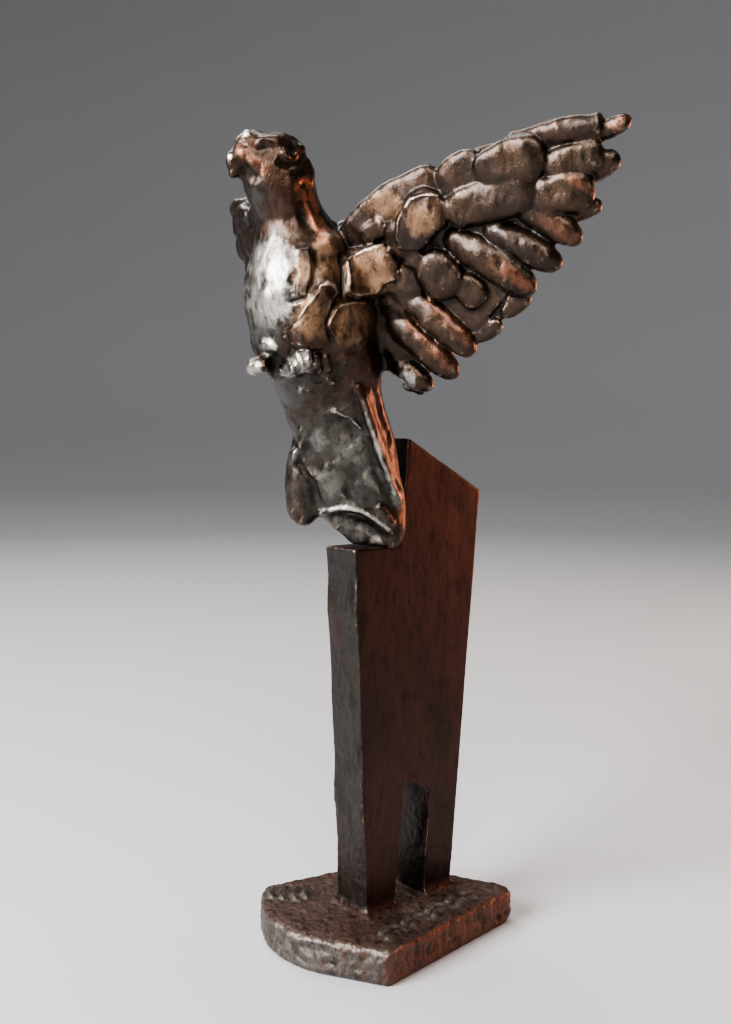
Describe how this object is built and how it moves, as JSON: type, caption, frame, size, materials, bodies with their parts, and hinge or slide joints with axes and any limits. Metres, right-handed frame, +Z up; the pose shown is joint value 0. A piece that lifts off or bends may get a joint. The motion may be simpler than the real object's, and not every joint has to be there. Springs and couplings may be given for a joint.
{
  "type": "bronze pigeon sculpture on a gable-shaped plinth",
  "caption": "Small cast bronze pigeon with raised wings, standing in the notch of a gable-shaped slab plinth with a little doorway and a flat rounded foot",
  "frame": {"origin": "on the underside of the foot, below the middle of the slab's thickness", "axes": "+Z up; the bird and the slab's narrow front look along -X; the slab's broad faces look along -Y and +Y, and the wings spread along Y"},
  "size_m": [0.0737, 0.1406, 0.2],
  "materials": {
    "plinth bronze": "dark brown patinated bronze, brushed and hand-worked, worn to copper at the edges",
    "bird bronze": "dark brown patinated bronze, semi-gloss, with finger-modelled relief and pale worn crests"
  },
  "bodies": {
    "root": {"plinth": "plinth bronze", "pigeon": "bird bronze"}
  },
  "joints": []
}
